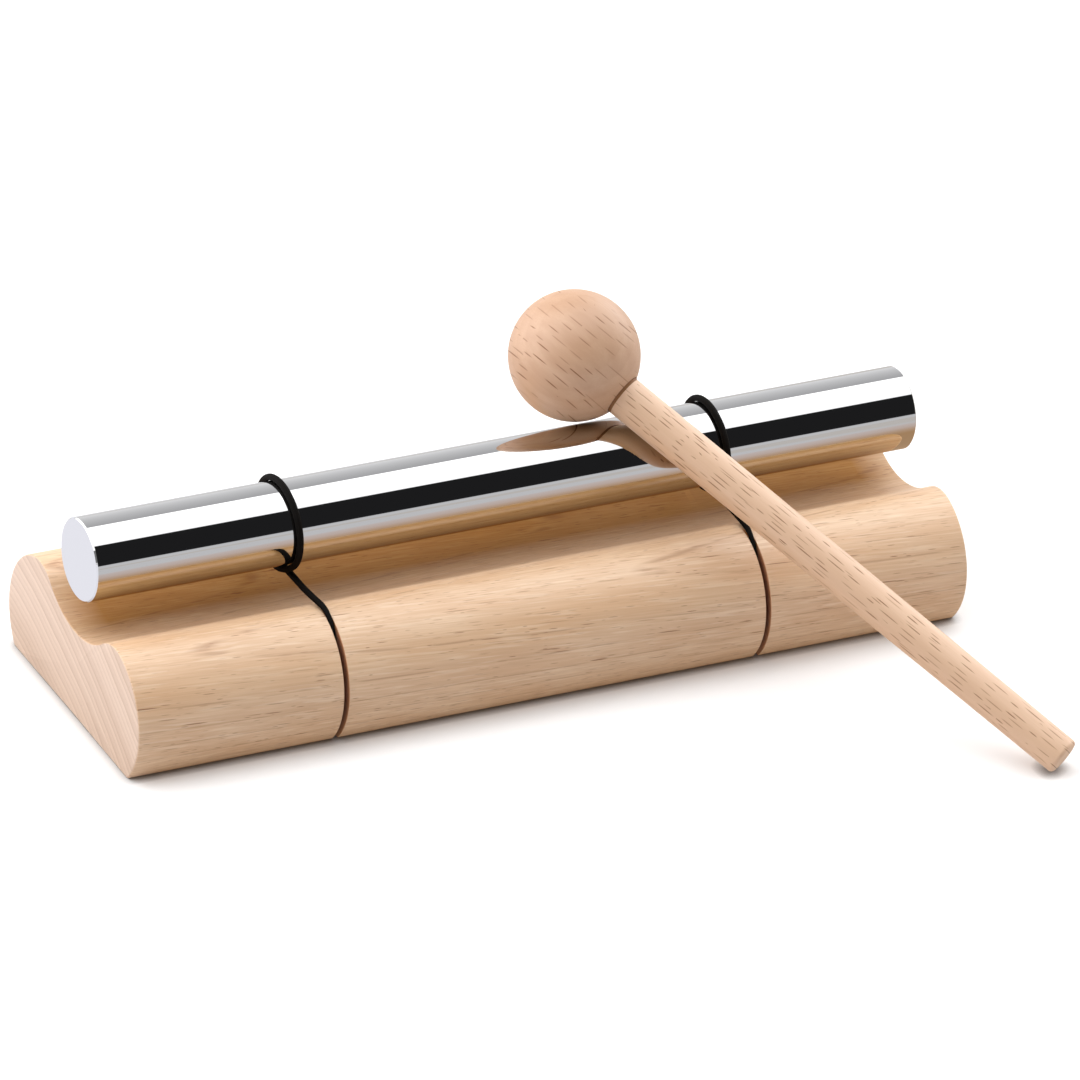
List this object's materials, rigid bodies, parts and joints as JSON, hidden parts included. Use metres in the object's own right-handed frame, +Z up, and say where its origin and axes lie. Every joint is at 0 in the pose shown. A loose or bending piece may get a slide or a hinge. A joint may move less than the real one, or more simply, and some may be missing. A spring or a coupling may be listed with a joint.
{
  "type": "chime bar",
  "caption": "Polished metal rod held by two elastic loops over a grooved wooden base, with a wooden ball mallet leaning on it.",
  "frame": {"origin": "centre of the base's flat underside, on the surface it stands on", "axes": "+X along the rod, to the right in the picture; +Y to the back, away from the player; +Z up"},
  "size_m": [0.1732, 0.1128, 0.0638],
  "materials": {
    "base_wood": "sanded light oak or ash, long fine pores along X",
    "polished_metal": "mirror polished",
    "elastic": "matt black elastic cord",
    "mallet_wood": "sanded beech with short dark flecks"
  },
  "bodies": {
    "base": {"base_block": "base_wood"},
    "sling": {"elastic_loop_left": "elastic", "elastic_loop_right": "elastic"},
    "rod": {"chime_rod": "polished_metal"},
    "mallet": {"mallet_head": "mallet_wood", "mallet_handle": "mallet_wood"}
  },
  "joints": [
    {"name": "rod_bob", "type": "slide", "parent": "base", "child": "sling", "axis": [0, 0, 1], "range_m": [-0.004, 0], "stiffness_N_per_m": 360, "springref_m": 0.00254, "deforming": ["elastic_loop_left", "elastic_loop_right"]},
    {"name": "rod_turn", "type": "hinge", "parent": "sling", "child": "rod", "pos_m": [0, 0, 0.03259], "axis": [1, 0, 0], "continuous": true},
    {"name": "mallet_lift", "type": "slide", "parent": "base", "child": "mallet", "axis": [0, 0, 1], "range_m": [0, 0.12]}
  ]
}
